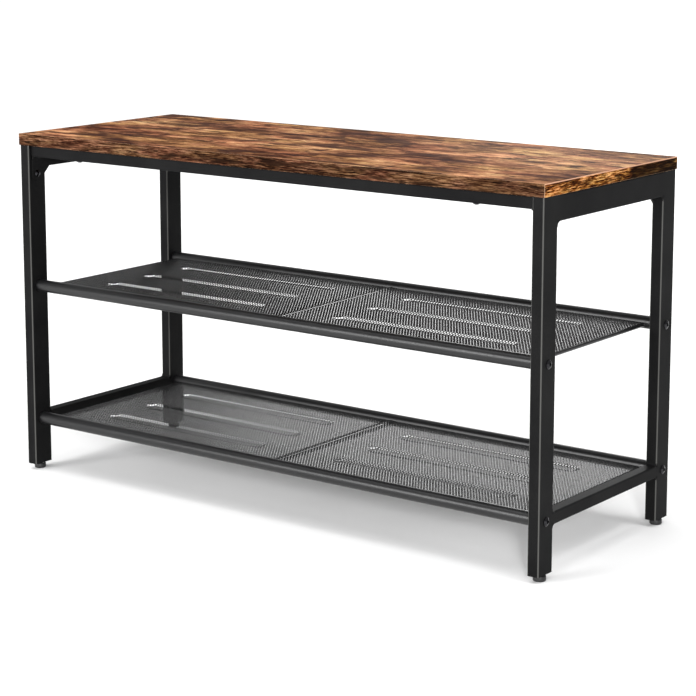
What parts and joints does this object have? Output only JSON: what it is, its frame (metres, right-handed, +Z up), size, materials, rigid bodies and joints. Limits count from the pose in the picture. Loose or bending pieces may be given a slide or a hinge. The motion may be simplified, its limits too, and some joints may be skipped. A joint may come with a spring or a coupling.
{
  "type": "entryway bench",
  "caption": "Narrow entryway bench: wood-look seat board on a black tube frame, with wire-mesh shoe shelves between tubes and levelling feet under the legs.",
  "frame": {"origin": "centre of the footprint on the floor, under the middle of the seat board", "axes": "+X along the bench's length to its right end, +Y from the front to the back, +Z up"},
  "size_m": [0.8028, 0.3, 0.45],
  "materials": {
    "rustic_board": "satin wood-print laminate on particle board",
    "board_edging": "satin printed edge band",
    "black_coated_tube": "fine-textured satin black powder coat on steel",
    "black_coated_mesh": "satin black powder coat on expanded steel mesh",
    "black_screws": "black zinc",
    "zinc_steel": "bright zinc plate",
    "black_nylon": "matt moulded nylon"
  },
  "bodies": {
    "frame": {"seat_board": "rustic_board", "front_edge_band": "board_edging", "rear_edge_band": "board_edging", "left_edge_band": "board_edging", "right_edge_band": "board_edging", "seat_inserts": "zinc_steel", "seat_screws": "black_screws", "front_left_leg": "black_coated_tube", "rear_left_leg": "black_coated_tube", "front_right_leg": "black_coated_tube", "rear_right_leg": "black_coated_tube", "left_top_rail": "black_coated_tube", "right_top_rail": "black_coated_tube", "left_lower_rail": "black_coated_tube", "right_lower_rail": "black_coated_tube", "front_left_plug": "black_nylon", "rear_left_plug": "black_nylon", "front_right_plug": "black_nylon", "rear_right_plug": "black_nylon", "foot_nuts": "zinc_steel", "front_apron": "black_coated_tube", "rear_apron": "black_coated_tube", "front_left_bracket": "black_coated_tube", "rear_left_bracket": "black_coated_tube", "front_right_bracket": "black_coated_tube", "rear_right_bracket": "black_coated_tube", "bracket_bolts": "black_screws", "bracket_nuts": "zinc_steel", "upper_front_tube": "black_coated_tube", "upper_rear_tube": "black_coated_tube", "upper_left_rod": "black_coated_tube", "upper_centre_rod": "black_coated_tube", "upper_right_rod": "black_coated_tube", "upper_mesh": "black_coated_mesh", "upper_tube_nuts": "zinc_steel", "upper_shelf_bolts": "black_screws", "lower_front_tube": "black_coated_tube", "lower_rear_tube": "black_coated_tube", "lower_left_rod": "black_coated_tube", "lower_centre_rod": "black_coated_tube", "lower_right_rod": "black_coated_tube", "lower_mesh": "black_coated_mesh", "lower_tube_nuts": "zinc_steel", "lower_shelf_bolts": "black_screws"},
    "front_left_pad": {"front_left_pad": "black_nylon"},
    "front_left_stud": {"front_left_stud": "zinc_steel"},
    "rear_left_pad": {"rear_left_pad": "black_nylon"},
    "rear_left_stud": {"rear_left_stud": "zinc_steel"},
    "front_right_pad": {"front_right_pad": "black_nylon"},
    "front_right_stud": {"front_right_stud": "zinc_steel"},
    "rear_right_pad": {"rear_right_pad": "black_nylon"},
    "rear_right_stud": {"rear_right_stud": "zinc_steel"}
  },
  "joints": [
    {"name": "front_left_pad_travel", "type": "slide", "parent": "frame", "child": "front_left_pad", "axis": [0, 0, -1], "range_m": [0, 0.008]},
    {"name": "front_left_stud_turn", "type": "hinge", "parent": "front_left_pad", "child": "front_left_stud", "pos_m": [-0.3915, -0.134, 0.008], "axis": [0, 0, -1], "range_deg": [0, 2880]},
    {"name": "rear_left_pad_travel", "type": "slide", "parent": "frame", "child": "rear_left_pad", "axis": [0, 0, -1], "range_m": [0, 0.008]},
    {"name": "rear_left_stud_turn", "type": "hinge", "parent": "rear_left_pad", "child": "rear_left_stud", "pos_m": [-0.3915, 0.134, 0.008], "axis": [0, 0, -1], "range_deg": [0, 2880]},
    {"name": "front_right_pad_travel", "type": "slide", "parent": "frame", "child": "front_right_pad", "axis": [0, 0, -1], "range_m": [0, 0.008]},
    {"name": "front_right_stud_turn", "type": "hinge", "parent": "front_right_pad", "child": "front_right_stud", "pos_m": [0.3915, -0.134, 0.008], "axis": [0, 0, -1], "range_deg": [0, 2880]},
    {"name": "rear_right_pad_travel", "type": "slide", "parent": "frame", "child": "rear_right_pad", "axis": [0, 0, -1], "range_m": [0, 0.008]},
    {"name": "rear_right_stud_turn", "type": "hinge", "parent": "rear_right_pad", "child": "rear_right_stud", "pos_m": [0.3915, 0.134, 0.008], "axis": [0, 0, -1], "range_deg": [0, 2880]}
  ],
  "couplings": [
    {"joint": "front_left_stud_turn", "follows": "front_left_pad_travel", "rad_per_m": 6283.2},
    {"joint": "rear_left_stud_turn", "follows": "rear_left_pad_travel", "rad_per_m": 6283.2},
    {"joint": "front_right_stud_turn", "follows": "front_right_pad_travel", "rad_per_m": 6283.2},
    {"joint": "rear_right_stud_turn", "follows": "rear_right_pad_travel", "rad_per_m": 6283.2}
  ]
}
